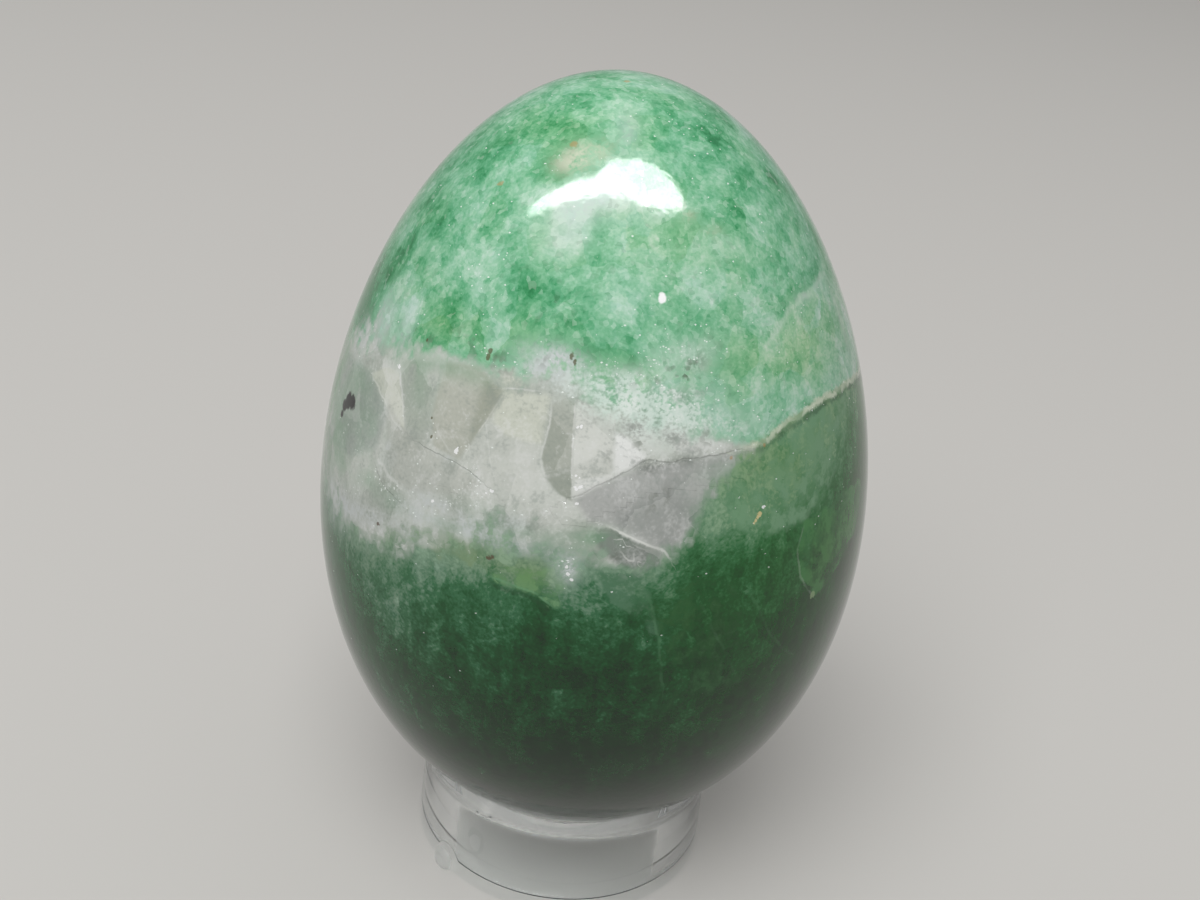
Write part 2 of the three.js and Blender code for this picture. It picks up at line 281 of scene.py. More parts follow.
# Soft patches, each an angle, a height, a half width, a half height and a strength
PATCHES = {
    # Thickness of the green mica, with painted shade at the left side and a painted glow under the
    # highlight. A negative strength is a milky patch.
    "green": [
        (-52, 61.8, 1.8, 0.8, 0.14), (-43, 60.4, 1.6, 0.8, 0.08), (-54, 58.1, 2, 1.2, 0.12),
        (-27, 57.7, 1.8, 1, 0.12), (-71, 57.4, 2, 1.5, 0.12), (76, 60.7, 2, 0.9, 0.14),
        (38, 60, 2.4, 1.2, 0.1), (60, 57, 3, 1.5, 0.14), (50, 60, 3, 1.6, 0.14),
        (-51, 53.6, 1.4, 2, 0.12), (-18.5, 51, 1.3, 1.3, 0.24), (-21, 49.8, 0.9, 0.8, 0.14),
        (-2, 53, 1, 1.2, 0.08), (3, 51, 1.4, 1.2, 0.08), (10, 50.2, 2, 1.4, 0.04),
        (0, 49, 1, 1.4, 0.1), (-5, 48, 0.6, 1.4, 0.12), (-32, 48.4, 5, 1.4, 0.1),
        # The strong patches just below, at -68 to -84 degrees, are painted shade where the light falls off
        # at the left side.
        (-74, 45.4, 2.6, 2.6, 0.6), (-84, 47.4, 3, 3, 0.4), (-68, 48.6, 1.6, 2, 0.2),
        (-64, 50, 2, 2.4, 0.14), (28, 46.4, 2, 1.6, 0.04), (38, 44.4, 2.6, 1.2, 0.06),
        (19, 46.6, 1.4, 1, 0.12), (20, 61.5, 2.4, 0.9, -0.14), (2, 60.6, 1.2, 1.2, -0.12),
        (-5, 56, 5, 1.2, -0.12), (-13, 55, 2.2, 1.8, -0.1), (-8, 52.6, 1, 1.4, -0.08),
        (-34, 52, 2.2, 1.4, -0.12), (-42, 50.2, 1.6, 1, -0.1), (-52, 47.4, 2, 2.4, -0.12),
        (-59, 46.6, 1.4, 2, -0.12), (13, 46.9, 2.8, 0.9, -0.14), (22, 48.4, 1.6, 1, -0.1),
        (4, 54.5, 4, 1.2, -0.06), (16, 53.6, 3, 1.4, -0.08), (46, 48, 4, 3, -0.04),
        (36, 52, 5, 2, -0.04), (-30, 55, 4, 1.4, -0.06), (12, 48.2, 1.4, 0.8, -0.08),
        # The three milky patches along 56 to 57 mm, from -21 to 0 degrees, lie just under the highlight.
        # They are partly paler stone and partly a painted glow of the highlight.
        (22, 53.4, 5, 3, -0.09), (3, 53.6, 5, 3, -0.07), (-10, 57, 4.5, 0.6, -0.3),
        (-43, 47.8, 2.6, 1.6, -0.16), (-21, 53.4, 1.5, 1.1, -0.16), (-47, 52.4, 3, 3, -0.06),
        (29, 48.2, 5, 2.4, -0.1), (32, 45.8, 2, 1.4, -0.1), (0, 56.8, 3.5, 0.5, -0.25),
        (-21, 56.3, 2.5, 0.5, -0.2)],
    # Stone that leans to olive and straw
    "olive": [
        (-32, 48.2, 7, 1.6, 0.4), (-24, 34.4, 5, 2, 0.4), (-9, 33, 3, 1.6, 0.35),
        (-44, 33, 3, 1.6, 0.4), (55, 47, 8, 3, 0.45), (20, 54, 8, 3, 0.25),
        (34, 40.5, 4, 2, 0.4), (55, 32, 6, 3, 0.4), (-22, 60, 5, 1.6, 0.3),
        (24, 30, 5, 4, 0.35), (4, 46.8, 6, 1, 0.2)],
    # A white to lilac veil of quartz over the green
    "veil": [
        (-9, 47.5, 1.6, 0.8, 0.75), (-13, 46.6, 1.6, 0.6, 0.5), (-5, 46.4, 1.6, 0.9, 0.45),
        (-66, 43.6, 1.6, 1.4, 0.55), (-57, 45.6, 0.9, 1.8, 0.5), (-61, 46.8, 0.6, 1.6, 0.4),
        (-49, 46.2, 0.8, 1.4, 0.45), (-57, 32.2, 3, 1, 0.7), (-46, 33, 2, 0.7, 0.5),
        (-60, 30.2, 2, 1, 0.25), (-34, 35, 3, 0.7, 0.4), (-14, 34.9, 3, 0.6, 0.4),
        (-3, 34, 1, 1.2, 0.4), (-13, 55.2, 1.8, 1.4, 0.25), (4, 60.4, 0.8, 1.2, 0.3),
        (74, 47.5, 0.5, 2.4, 0.3), (60, 50.2, 3, 0.4, 0.25), (-4, 56.4, 3, 0.8, 0.25),
        (-30.5, 36.3, 1.6, 0.5, 0.5), (-43, 38, 0.8, 1, 0.4), (-28, 39.4, 0.5, 0.8, 0.4),
        (-2.2, 33.7, 0.5, 0.8, 0.5), (-36, 33.6, 2.6, 0.7, 0.35), (-21, 35.6, 2, 0.8, 0.5),
        (-14, 36.6, 1.4, 0.6, 0.5)],
    # A thin mint white frost, where the quartz dissolves into the green
    "frost": [
        (0, 46.3, 2.4, 1, 0.5), (8, 46, 3.4, 1.2, 0.7), (17, 45, 2.8, 1.1, 0.7),
        (24, 43.8, 2.4, 0.9, 0.6), (4, 44.8, 2, 0.7, 0.5), (9, 45, 2.4, 1.1, 0.7),
        (14, 43.9, 2.4, 0.9, 0.7), (22, 48.2, 1.4, 0.9, 0.45), (16, 47.6, 1.4, 1.2, 0.4),
        (30, 43.2, 1.6, 0.7, 0.4), (-16, 47.6, 1.6, 0.8, 0.3)],
    # Green mica inside the quartz band. Towards its left end, past -50 degrees and strongest at -79
    # degrees, it is partly painted shade where the light falls off at that side.
    "tint": [
        (-66, 36, 2, 4, 0.5), (-58, 34.8, 1.6, 1.2, 0.25), (-60, 41.2, 2.2, 1.6, 0.4),
        (-40, 35, 2, 1, 0.25), (-38, 43.4, 1.4, 1.6, 0.2), (-19, 36.8, 2.4, 0.7, 0.15),
        (-26, 35, 2, 0.5, 0.35), (28, 40.2, 2, 1, 0.4), (23, 38.2, 1.2, 1, 0.3),
        (-10, 36, 3, 0.5, 0.3), (-48, 35.4, 1, 0.8, 0.3), (5, 45.2, 1.6, 0.5, 0.3),
        (14, 42.6, 1.4, 0.8, 0.15), (2, 36.2, 1.6, 0.8, 0.5), (-79, 39, 2.6, 6, 1.2),
        (-46, 44.6, 3, 0.8, 0.35), (-32, 45.4, 4, 0.7, 0.35), (-50, 39, 1.6, 1.6, 0.2),
        (-55, 37, 3, 3, 0.2)],
    # Cream and rust left by iron
    "cream": [
        (-22, 58.3, 1, 0.6, 0.25), (-12, 59.2, 1.4, 0.6, 0.25), (-16, 58.7, 1.3, 0.8, 0.4),
        (-6, 59.6, 1, 0.6, 0.15), (24, 56.1, 0.8, 0.4, 0.3), (31, 55.1, 0.9, 0.4, 0.25),
        (33, 41.4, 0.8, 0.4, 0.3), (-18, 45.6, 1, 0.6, 0.25)],
    # Grey smudges: fine dark grains, and painted shadow under the crack along the top of the lilac plate
    "smudge": [
        (8.4, 43.4, 0.8, 0.5, 0.7), (9.4, 42.3, 0.5, 0.5, 0.6), (15.9, 43, 0.8, 0.4, 0.6),
        (12.6, 41.3, 1.3, 0.3, 0.9), (18.1, 41.5, 0.8, 0.25, 0.6), (21.4, 42, 0.9, 0.25, 0.5),
        (11.2, 40.9, 0.6, 0.3, 0.5), (22, 47.7, 0.8, 0.7, 0.5), (12, 43.8, 0.5, 0.3, 0.4),
        (3.4, 41.8, 0.4, 0.3, 0.4), (-11, 36.4, 2, 0.5, 0.4), (18, 45.6, 0.8, 0.5, 0.4)],
    # How thickly painted glints of bright flakes lie
    "painted_glint": [
        (9, 46.6, 5, 1.2, 0.6), (20, 46.2, 4, 1.8, 0.6), (-32, 52, 1.4, 0.9, 0.8),
        (-40, 50.2, 1.2, 0.7, 0.6), (40, 60, 4, 2, 0.35), (22, 48.6, 3, 2.4, 0.5),
        (5, 48, 3, 1.4, 0.5), (-22, 48.4, 3, 1.4, 0.25), (-30, 36.8, 2.4, 0.8, 1.4),
        (-24, 40.2, 1, 1.4, 1), (-2.2, 39.4, 0.5, 1.4, 1.6), (-2.6, 43.2, 0.6, 0.5, 1.2),
        (-19, 38.2, 0.7, 0.4, 1.2), (-39, 40.4, 0.7, 0.5, 1.6), (-34, 41.2, 0.6, 0.9, 0.8),
        (-51, 36.2, 1.6, 0.7, 1.4), (-38, 35.4, 3, 0.6, 1.6), (-55, 33.6, 2.4, 0.7, 0.9),
        (-2, 34.2, 0.5, 1.2, 1.2), (15, 41.4, 3, 0.6, 0.6), (34, 37, 0.6, 0.6, 0.8),
        (-14, 37.2, 3, 0.6, 0.8), (-22, 38.6, 1.4, 0.7, 1.2), (45, 52, 6, 4, 0.12),
        (38, 42.6, 2, 0.3, 0.8), (50, 43.3, 3, 0.3, 0.6), (66, 43.4, 3, 0.3, 0.6),
        (8, 35.5, 1, 0.5, 0.6), (30, 42, 2, 0.4, 0.5), (30, 34.5, 5, 3, 0.04),
        (-46, 35.4, 2.4, 0.6, 1), (36, 44, 0.8, 1.6, 0.6), (5, 41.6, 0.6, 1.2, 0.7),
        (-36, 38.4, 1.2, 0.5, 0.5)],
    # How thickly dark grains lie
    "specks": [
        (19, 46.8, 2.2, 0.9, 0.4), (7, 46.6, 3, 0.5, 0.25), (-42, 46.2, 1.4, 0.8, 0.5),
        (-31, 47.2, 1.6, 0.8, 0.4), (-24, 47.2, 1, 0.8, 0.5), (-12, 47.2, 1.2, 0.4, 0.4),
        (22, 47.8, 1.8, 1.6, 0.5), (19, 42.2, 1, 0.5, 0.5), (15, 42.6, 0.7, 0.4, 0.5),
        (9, 43.2, 0.5, 1, 0.7), (24, 42.9, 0.8, 0.5, 0.6), (-34, 41.6, 0.6, 0.8, 0.3),
        (-46, 35.8, 1.4, 0.9, 0.5), (-57, 33.2, 0.8, 0.5, 0.4), (-21, 46.4, 1.2, 0.5, 0.4),
        (6, 35.4, 1, 0.6, 0.5), (-12, 50.4, 1.6, 1.2, 0.3), (-21, 53.2, 0.8, 1.2, 0.3),
        (-24, 40.4, 0.4, 0.5, 0.7), (12, 39, 2.4, 1, 0.4)]}

# The plates of broken and healed crystal in the band: name, colour, opacity, softness of edge, corners
BAND_PLATES = [
    ("wedge", "d6d9cb", 0.8, 0.12, [
        (-55.3, 42.4), (-51, 43.4), (-46.4, 43.7), (-42.6, 42), (-40.2, 40.3), (-43.9, 40.5)]),
    ("left_plate", "b0b8ac", 0.7, 0.2, [
        (-46, 43.9), (-45.5, 44.6), (-34, 45.4), (-33, 41.6), (-36, 40.6), (-39.8, 40.6),
        (-42.2, 42.1)]),
    ("beige_plate", "b6b8aa", 0.75, 0.2, [
        (-34, 45.6), (-26, 46), (-19, 44.8), (-21, 43.2), (-24, 41), (-26, 39.8), (-32, 40),
        (-34, 42)]),
    ("beige_corner", "a0a595", 0.75, 0.35, [
        (-23.5, 45.4), (-19, 44.8), (-21, 43.2), (-24, 41), (-24.4, 42.6)]),
    ("fan_plate", "bbbeb5", 0.6, 0.2, [
        (-47, 41.6), (-41, 40.4), (-36, 39.9), (-26, 39.4), (-20, 38.5), (-27, 37.2), (-35, 36.4),
        (-40, 36.7), (-44, 38)]),
    ("outer_plate", "9ca6a0", 0.55, 0.4, [
        (-72, 42), (-57, 42.4), (-46, 41), (-47, 38), (-56, 36), (-72, 35)]),
    ("pale_plate", "d6d9ca", 0.75, 0.3, [
        (-19, 44.9), (-9.2, 45.2), (-9.4, 42.1), (-12, 42), (-17, 42.1), (-20.4, 42.9)]),
    ("under_plate", "d0d3cb", 0.7, 0.3, [
        (-20.6, 42.8), (-17, 42.1), (-12, 42), (-9.4, 42), (-10, 41), (-9, 39.8), (-12, 38.6),
        (-19, 38.7), (-24.5, 40.6)]),
    ("lath", "a9aea2", 0.95, 0.08, [
        (-8.6, 44.7), (-6, 45.2), (-4, 45.1), (-3.4, 42), (-2.8, 38.6), (-6.2, 39.2), (-7.8, 40),
        (-9.3, 41.1), (-8.8, 42.6)]),
    ("lath_foot", "969e92", 0.5, 0.1, [
        (-8.8, 40.2), (-3.2, 41), (-2.8, 38.6), (-6.4, 39.1), (-8.2, 39.9)]),
    ("white_plate", "dee0d9", 0.8, 0.15, [
        (-3.7, 45.2), (4.2, 44.6), (4.4, 40.4), (-2.6, 38.8), (-3.4, 42)]),
    ("shade_plate", "cccfc7", 0.75, 0.12, [
        (-3.1, 40.9), (0.4, 41.5), (4.3, 41.6), (4.4, 40.6), (-2.8, 40)]),
    ("bright_strip", "e4e6e1", 0.8, 0.15, [
        (-2.7, 40), (4.4, 40.6), (5, 40.4), (2.5, 39.9), (-2.4, 39)]),
    ("bright_plate", "f6f7f4", 0.9, 0.25, [
        (4.3, 43.3), (7.1, 43), (9.6, 42.2), (11, 42), (9.7, 41.4), (4.6, 40.5)]),
    ("lilac_plate", "abacaa", 0.75, 0.4, [
        (-2.5, 38.8), (2.5, 39.9), (7, 40.7), (9.7, 41.2), (14.4, 41.4), (20, 41.6), (28, 41.7),
        (30, 41), (26, 39.4), (21, 37.2), (16.3, 34.8), (14.6, 35.5), (7.7, 36.6), (4.9, 37.2),
        (1, 37.2)]),
    ("milky_plate", "e6e8e3", 0.85, 0.5, [
        (6, 43.6), (12, 44.2), (20, 43.3), (28, 42.3), (20, 41.9), (12, 41.9)]),
    ("lilac_core", "6f7672", 0.7, 0.9, [
        (6, 38), (10, 38.5), (17, 39.2), (22, 38.2), (16, 35), (12, 36), (7, 36.9)]),
    ("dark_plate", "737b74", 0.85, 0.25, [
        (1.6, 36.5), (5, 36.9), (8, 36.3), (14.6, 35.2), (14, 33.6), (8, 34), (3, 35.5)])]

# Plates in the green stone: name, by how much the green thins, softness of edge, corners
GREEN_PLATES = [
    ("upper_plate", -0.13, 0.2, [
        (74, 50.8), (51, 50), (39, 48.1), (34, 45.9), (33, 43.6), (36, 42.2), (43, 43.1), (59, 43.5),
        (80, 42.7), (84, 47)]),
    ("upper_shade", 0.14, 0.3, [
        (40, 48.3), (51, 50.1), (74, 50.9), (76, 51.8), (58, 51.6), (46, 50.2)]),
    ("clump_edge", 0.08, 0.25, [
        (-24, 53.6), (-17, 53.2), (-12, 51.6), (-12, 49.4), (-20, 49), (-25, 50.6)]),
    ("milky_pane", -0.12, 0.3, [(-19, 56.2), (-6, 56.6), (-6, 53.8), (-11, 53), (-18, 53.8)])]

# Plates that show in the deep green stone below the band: name, colour, opacity, softness, corners
DEEP_PLATES = [
    ("veiled_plate", "74a07a", 0.5, 0.5, [
        (30, 41.4), (36, 41.9), (43, 42.9), (54, 43.3), (66, 43.2), (62, 39.9), (57, 38.2), (52, 36.8),
        (46, 35.8), (37, 35.6), (30, 36.4), (25, 38.2)]),
    ("yellow_plate", "6c9a6c", 0.45, 0.2, [
        (-17, 32.4), (-12, 32), (-8, 31.7), (-4, 30.9), (-2.5, 32.4), (-3.5, 33.9), (-13, 33.4)]),
    ("side_plate", "4d7b5a", 0.45, 0.2, [
        (3, 33.8), (10, 34), (13, 31.8), (15, 28.6), (12, 30.2), (6, 31.6)]),
    ("left_scallop", "7d9a78", 0.5, 0.2, [
        (-34, 34.4), (-27, 32.4), (-24, 33.1), (-20, 32.6), (-18, 34.4), (-26, 35.2)]),
    ("tip_plate", "3f8644", 0.6, 0.25, [
        (46, 35.4), (44, 33.6), (45, 31.4), (51, 28.9), (58, 30), (70, 32.6), (70, 35.6), (58, 36)]),
    ("tall_plate", "27632f", 0.2, 0.6, [
        (13, 31.8), (22, 33), (30, 31.8), (33, 24), (17, 22), (15, 28.6)])]

# The seam that runs on from the band's right end, round the back to where the band thins out
SEAM = [
    (29, 41.8), (33, 42), (36, 42.1), (43, 43), (54, 43.5), (66, 43.4), (84, 42.4), (105, 41.2),
    (130, 39.6), (155, 38.7), (180, 39.2)]

# Healed cracks and veins, and in the shade set painted shadow under the seam and under a plate and a vein:
# the set that draws it, its half width, its strength and its course.
# Where two lines of one set meet, a point of the stone belongs to the nearer one.
LINES = [
    ("seam", 0.22, 0.85, SEAM),
    ("crack", 0.07, 0.4, [
        (-2.3, 38.9), (2.5, 39.9), (7, 40.8), (9.7, 41.3), (11.1, 41.6), (14.4, 41.4), (17.8, 41.6),
        (21.4, 41.7), (25, 41.7), (30, 41.8)]),
    ("crack", 0.05, 0.35, [(-36, 39.9), (-32, 39.7), (-26, 39.5), (-23, 39.2), (-20, 38.7)]),
    ("crack", 0.05, 0.3, [(-47, 37), (-44, 36), (-38, 35.2)]),
    # Shade lines are painted shadow: a dark green line just under the seam, and two more under a plate and
    # a vein lower down.
    ("shade", 0.22, 0.5, [
        (33, 41.6), (36, 41.7), (43, 42.6), (54, 43.1), (66, 43), (84, 42), (105, 40.8),
        (130, 39.2)]),
    ("shade", 0.18, 0.4, [(-17.5, 31.9), (-12, 31.6), (-8, 31.3), (-4, 30.4)]),
    ("shade", 0.12, 0.35, [(1, 36.9), (5, 36.8), (9, 36), (15, 35.1)]),
    ("vein", 0.08, 0.85, [(3.6, 37.2), (4.9, 37.1), (7.7, 36.5), (14.6, 35.4), (16.3, 34.6)]),
    ("vein", 0.07, 0.45, [(-55.6, 42.4), (-48, 41.4), (-43.9, 40.4), (-39, 39.9)]),
    ("vein", 0.06, 0.35, [(-19, 44.8), (-21, 43.2), (-24, 41), (-25.5, 39.4)]),
    ("vein", 0.08, 0.14, [(50.5, 28.8), (45.5, 31.2), (44, 33.6), (46, 35.4)]),
    ("vein", 0.22, 0.25, [(40, 48.2), (51, 50), (62, 50.4), (76, 50.8)]),
    ("vein", 0.05, 0.5, [(6.1, 35.6), (7.1, 35.3), (7.9, 35), (9.3, 34.8), (9.2, 35.5)]),
    ("ridge", 0.06, 0.7, [(-4, 45.2), (-3.6, 42), (-2.7, 38.2)]),
    ("ridge", 0.14, 0.4, [(-48, 38.6), (-46, 37.4), (-42, 36.7), (-36, 36.2)]),
    ("ridge", 0.07, 0.5, [(-46.6, 44), (-42.5, 42), (-40.2, 40.4)]),
    ("ridge", 0.06, 0.5, [(-19.6, 45), (-15, 45.3), (-10.4, 45.3)]),
    ("ridge", 0.06, 0.3, [(-22, 43), (-19, 40), (-17, 38.8)]),
    ("edge", 0.07, 0.6, [
        (-8.8, 45.1), (-8.6, 43.4), (-9, 42.3), (-9.6, 41), (-8, 39.8), (-6.2, 39.1)]),
    ("edge", 0.06, 0.5, [(4.3, 43.2), (4.7, 40.6)]),
    ("edge", 0.07, 0.35, [(-52, 33.2), (-46, 33.4), (-42, 33.8)]),
    ("edge", 0.06, 0.35, [(-33.6, 41.8), (-30, 40.6), (-27, 39.8)]),
    ("edge", 0.05, 0.4, [(-23.5, 37.4), (-20, 37.8), (-15, 37.2)]),
    ("rift", 0.10, 0.2, [(12, 32.4), (13, 31.6), (15, 28.6), (17, 24.2)]),
    ("rift", 0.07, 0.5, [(-17.5, 32.3), (-12, 32), (-8, 31.7), (-4, 30.8)]),
    ("rift", 0.10, 0.1, [(22, 31.5), (27, 28), (33, 23.8)]),
    ("rift", 0.10, 0.1, [(32, 31.8), (40, 26.7), (48, 23.8)])]
LINE_COLOURS = {
    "shade": "1f4527", "seam": "d8e2ca", "crack": "6d716b", "vein": "e6e8e2", "ridge": "eaebe7",
    "edge": "dcded8", "rift": "6fa579"}

# Small spots: colour, strength, raggedness, how tall they are for their width and, for each one,
# angle, height and radius. The white ones and the pale gold ones are painted glints.
SPOTS = [
    ("0a0d0f", 1, 0.5, 1, [
        (-60.2, 39.5, 0.58), (-62.2, 39.3, 0.62), (-63.8, 38.7, 0.45), (-64.2, 38, 0.28)]),
    ("5f5a3c", 0.8, 1.6, 1.6, [
        (-6, 47.7, 0.2), (-5.2, 47.4, 0.14), (-24, 47.1, 0.13), (-24.2, 46.7, 0.14), (-41, 46.4, 0.1),
        (-34, 41.8, 0.08), (-33, 40.6, 0.09)]),
    ("58402c", 0.8, 1.6, 1, [(-17, 33.6, 0.22), (-16.4, 33.8, 0.14), (-43, 32.8, 0.14)]),
    ("b98a52", 0.5, 1.8, 1, [
        (-20, 59.5, 0.34), (2, 62.65, 0.22), (-41, 56.5, 0.2), (28, 41.4, 0.13), (36, 41.8, 0.13)]),
    # Painted glint: a white spot for light flashing off a crack inside the stone
    ("ffffff", 1, 0.5, 1.9, [(14, 51.5, 0.27)]),
    ("b4cf98", 0.5, 0.8, 1, [(50, 29.1, 0.3)]),
    # Painted glints: small white spots
    ("ffffff", 0.85, 4, 1, [
        (-27, 40.2, 0.2), (-3, 43.5, 0.12), (-2.3, 43.5, 0.11), (-2.5, 40.3, 0.1), (-1.8, 40.2, 0.1),
        (-2.2, 39.5, 0.13), (-1.4, 39.6, 0.11), (-1.9, 38.5, 0.12), (-19, 38.1, 0.13),
        (-18.2, 38.3, 0.12), (-30, 36.4, 0.12), (35.2, 37.6, 0.12), (-2.7, 34, 0.08),
        (-2.3, 33.5, 0.1), (-1.6, 33.1, 0.08), (-55, 42.4, 0.15), (-46.6, 44, 0.12)]),
    # Painted glint in pale gold
    ("dccd94", 0.9, 1.6, 1, [
        (34.3, 37.15, 0.16), (33.8, 36.95, 0.13), (33.3, 36.75, 0.12), (32.9, 36.6, 0.08)])]

# Shades of the stone, from thin mica to thick, and from the band down into the deep stone, whose darkest
# steps are partly painted shade.
# The warm ones lie on the right of the photograph.
SHADES = {
    "green": [
        (0.0, "c8e0d1"), (0.25, "a2d0b2"), (0.45, "83c099"), (0.65, "62ae80"), (0.82, "419965"),
        (1.0, "2a804e")],
    "cool": [
        (0.05, "8fae93"), (0.17, "73957a"), (0.34, "357148"), (0.51, "0e5627"), (0.68, "024417"),
        (0.95, "002e0f")],
    "warm": [
        (0.05, "86aa80"), (0.17, "548c5c"), (0.34, "267235"), (0.51, "055b18"), (0.68, "014c10"),
        (0.95, "00340b")]}

# The sizes of the crystals, and then the stone's clouds: how far each is squeezed upright, where less
# than 1 stretches it, its size, its detail, the crystals that break it up, and how evenly each
# crystal takes its tone
CRYSTALS = {"facet": 2.6, "crystal": 0.85, "crumb": 0.36}
CLOUDS = {
    "haze": (0.75, 3.6, 1.0, "facet", 0.25), "cloud": (0.75, 1.7, 1.5, "crystal", 0.4),
    "grain": (0.9, 0.8, 1.5, "crumb", 0.4), "sugar": (1.0, 0.24, 1.0, "crumb", 0.0),
    "fibre": (0.2, 1.0, 2.0, "crumb", 0.3)}
# Painted glints of mica flakes: the cell each lies in, and how flat they are
FLAKE = 0.18  # the cell that a flake lies in
FLAKE_FLATNESS = 1.5

# Waves that bend the clouds and shake the crystals' edges: their size, and how far they reach
BEND_SIZE = 9.0
BEND_REACH = 2.0
SHAKE_SIZE = 0.6
SHAKE_REACH = 0.4
RELIEF = 0.008  # of the polished surface, for a full step of its height

# How far the pattern is followed
COURSE_REACH = 9.0  # from a course
PLATE_SPAN = 16.0  # from a plate's middle
EDGE_REACH = 3.0  # from a plate's edge
LINE_REACH = 2.0  # from a line
LINE_SIDES = (0.5, 0.9)  # from a line, where it fades out
LINE_TAPER = 0.9  # from a line's ends, where it fades in
LINE_WAVER = 0.06
OFFSET_REACH = 30.0  # from a line, in its half widths
BAND_REACH = 4.0  # from the band's border, in widths of its fade
SPLIT_SOFTNESS = 0.2  # from where the deep stone starts
TIP_RADIUS = 3.0  # patches near the tips are drawn as if this far from the axis
SEED = 7


def signed_distance(points, course):
    """For each point, the way to the nearest stretch of a course on the surface: positive on its left."""
    best = np.full(len(points), COURSE_REACH)
    signed = np.full(len(points), COURSE_REACH)
    for start, end in zip(course, course[1:]):
        along = end - start
        length = np.linalg.norm(along)
        along = along / length
        offset = points - start
        travel = np.clip(offset @ along, 0, length)
        away = offset - travel[:, None] * along
        distance = np.linalg.norm(away, axis=1)
        side = np.sign(np.einsum("ij,ij->i", np.cross(along, away), points))
        nearer = distance < best
        best[nearer] = distance[nearer]
        signed[nearer] = (distance * side)[nearer]
    return signed


def course_on_egg(places, step=0.6, jitter=0.0, chance=None):
    """The places joined up by short steps on the surface, with a small waver in height."""
    dense = []
    for (angle, height), (next_angle, next_height) in zip(places, places[1:]):
        reach = math.hypot(math.radians(next_angle - angle) * radius_at(height), next_height - height)
        count = max(int(reach / step), 1)
        for index in range(count):
            share = index / count
            dense.append((angle + (next_angle - angle) * share, height + (next_height - height) * share))
    dense.append(places[-1])
    dense = np.array(dense)
    if jitter:
        waver = chance.normal(0, jitter, len(dense))
        dense[1:-1, 1] += waver[1:-1]
    return on_egg(dense)


def within(angle, height, corners):
    """Whether each place lies inside an outline: it does if a level line to its left crosses it an odd
    number of times."""
    inside = np.zeros(len(angle), bool)
    for (one_angle, one_height), (two_angle, two_height) in zip(corners, corners[1:] + corners[:1]):
        if one_height == two_height:
            continue
        spans = (height > min(one_height, two_height)) & (height <= max(one_height, two_height))
        share = (height - one_height) / (two_height - one_height)
        inside ^= spans & (one_angle + (two_angle - one_angle) * share < angle)
    return inside


def smooth_step(value, low, high):
    share = np.clip((value - low) / (high - low), 0, 1)
    return share * share * (3 - 2 * share)


def read_off(value, table):
    """The columns of a table at a value of its first one, in straight lines from row to row."""
    first, *columns = np.array(table, float).T
    return [np.interp(value, first, column) for column in columns]


def band_depth(angle, height):
    """How far a place lies inside the white band, counted in widths of its faded border."""
    top, top_fade = read_off(angle, BAND_TOP)
    foot, foot_fade = read_off(angle, BAND_FOOT)
    depth = np.minimum((top - height) / top_fade, (height - foot) / foot_fade)
    return np.clip(np.where(angle > BAND_END, -BAND_REACH, depth), -BAND_REACH, BAND_REACH)


def plate_reach(points, angle, height, corners):
    """How far each point lies inside a plate's outline. It is negative outside."""
    course = course_on_egg(corners + corners[:1], step=2.0)
    near = np.linalg.norm(points - course.mean(axis=0), axis=1) < PLATE_SPAN
    reach = np.full(len(points), -EDGE_REACH)
    away = np.abs(signed_distance(points[near], course))
    reach[near] = np.where(within(angle[near], height[near], corners), away, -away)
    return np.clip(reach, -EDGE_REACH, EDGE_REACH)


def line_offsets(points, name, chance):
    """The way to the nearest line of a set in half widths, and how strongly that line shows there."""
    nearest = np.full(len(points), LINE_REACH)
    offset = np.full(len(points), OFFSET_REACH)
    strength = np.zeros(len(points))
    for width, force, places in (line[1:] for line in LINES if line[0] == name):
        course = course_on_egg(places, jitter=LINE_WAVER, chance=chance)
        above = points > course.min(axis=0) - LINE_REACH
        below = points < course.max(axis=0) + LINE_REACH
        near = np.flatnonzero((above & below).all(axis=1))
        signed = signed_distance(points[near], course)
        ends = np.linalg.norm(points[near, None] - course[[0, -1]], axis=2).min(axis=1)
        shows = np.abs(signed) < nearest[near]
        near = near[shows]
        signed = signed[shows]
        ends = ends[shows]
        nearest[near] = np.abs(signed)
        offset[near] = np.clip(signed / width, -OFFSET_REACH, OFFSET_REACH)
        faded = smooth_step(np.abs(signed), *LINE_SIDES)
        strength[near] = force * smooth_step(ends, 0, LINE_TAPER) * (1 - faded)
    return offset, strength


